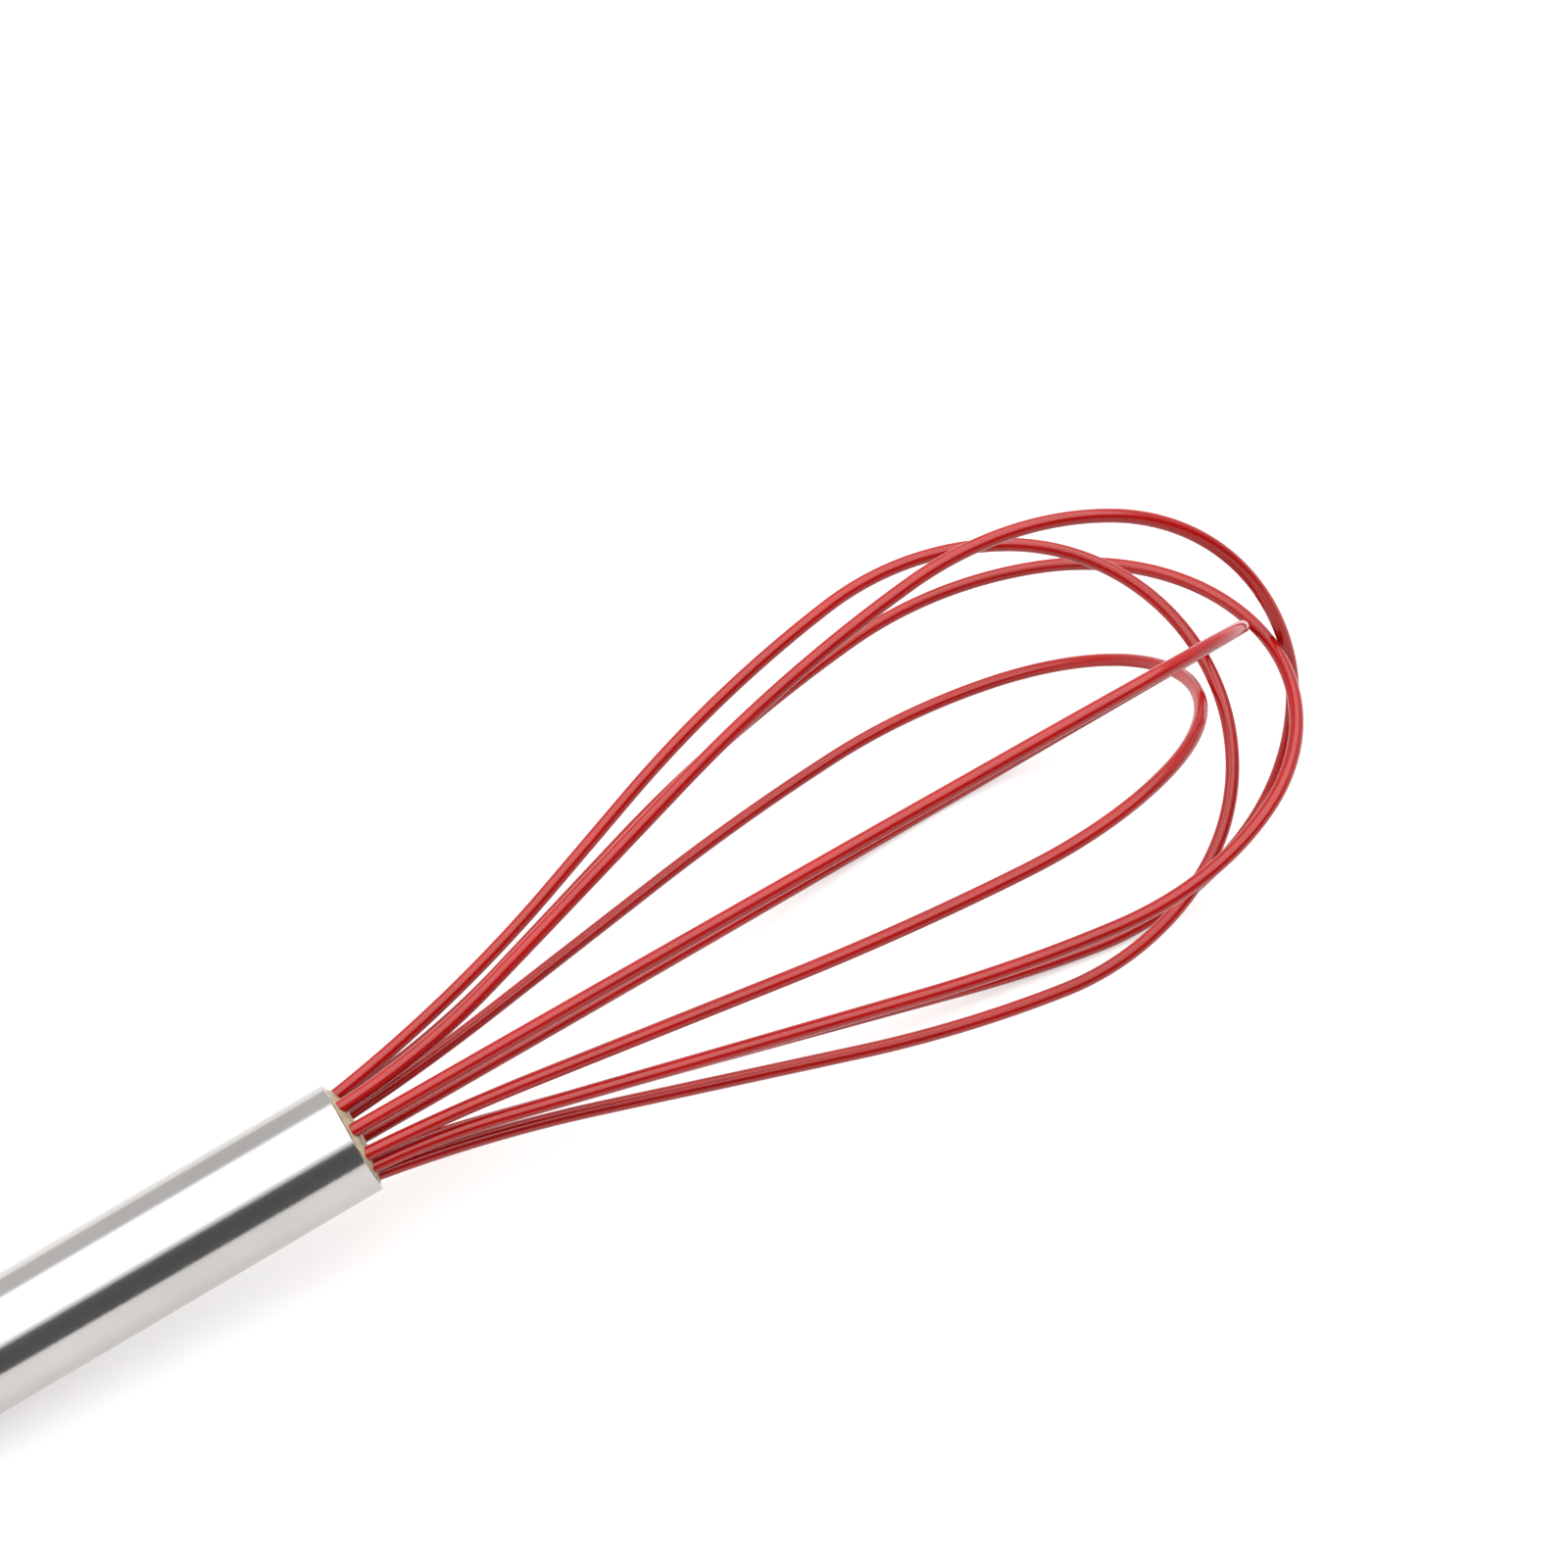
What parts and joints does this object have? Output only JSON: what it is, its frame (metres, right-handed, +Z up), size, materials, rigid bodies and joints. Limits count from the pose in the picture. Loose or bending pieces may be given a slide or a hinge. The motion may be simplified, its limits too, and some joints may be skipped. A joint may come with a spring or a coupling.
{
  "type": "balloon whisk",
  "caption": "Balloon whisk: silicone-jacketed wire loops, nested about one axis, are potted in the mouth of a plain round steel tube handle with a hanging loop.",
  "frame": {"origin": "on the table, under the middle of the whole outline", "axes": "+X along the table from the handle to the loops, +Y to the left of the handle, +Z up from the table that the whisk lies on"},
  "size_m": [0.3058, 0.083, 0.0739],
  "materials": {
    "handle_steel": "satin polished stainless steel",
    "cap_steel": "satin polished stainless steel",
    "hanger_steel": "bright drawn stainless wire",
    "spring_steel": "drawn spring steel wire",
    "red_silicone": "satin red silicone",
    "cream_resin": "cured cream potting resin",
    "disc_plastic": "natural moulded plastic"
  },
  "bodies": {
    "root": {"handle_tube": "handle_steel", "end_cap": "cap_steel", "hanging_loop": "hanger_steel", "mouth_seal": "cream_resin", "wire_guide_disc": "disc_plastic", "anchor_resin": "cream_resin", "resin_dam": "disc_plastic", "wire_core_1": "spring_steel", "silicone_sleeve_1": "red_silicone", "wire_core_2": "spring_steel", "silicone_sleeve_2": "red_silicone", "wire_core_3": "spring_steel", "silicone_sleeve_3": "red_silicone", "wire_core_4": "spring_steel", "silicone_sleeve_4": "red_silicone", "wire_core_5": "spring_steel", "silicone_sleeve_5": "red_silicone"}
  },
  "joints": []
}
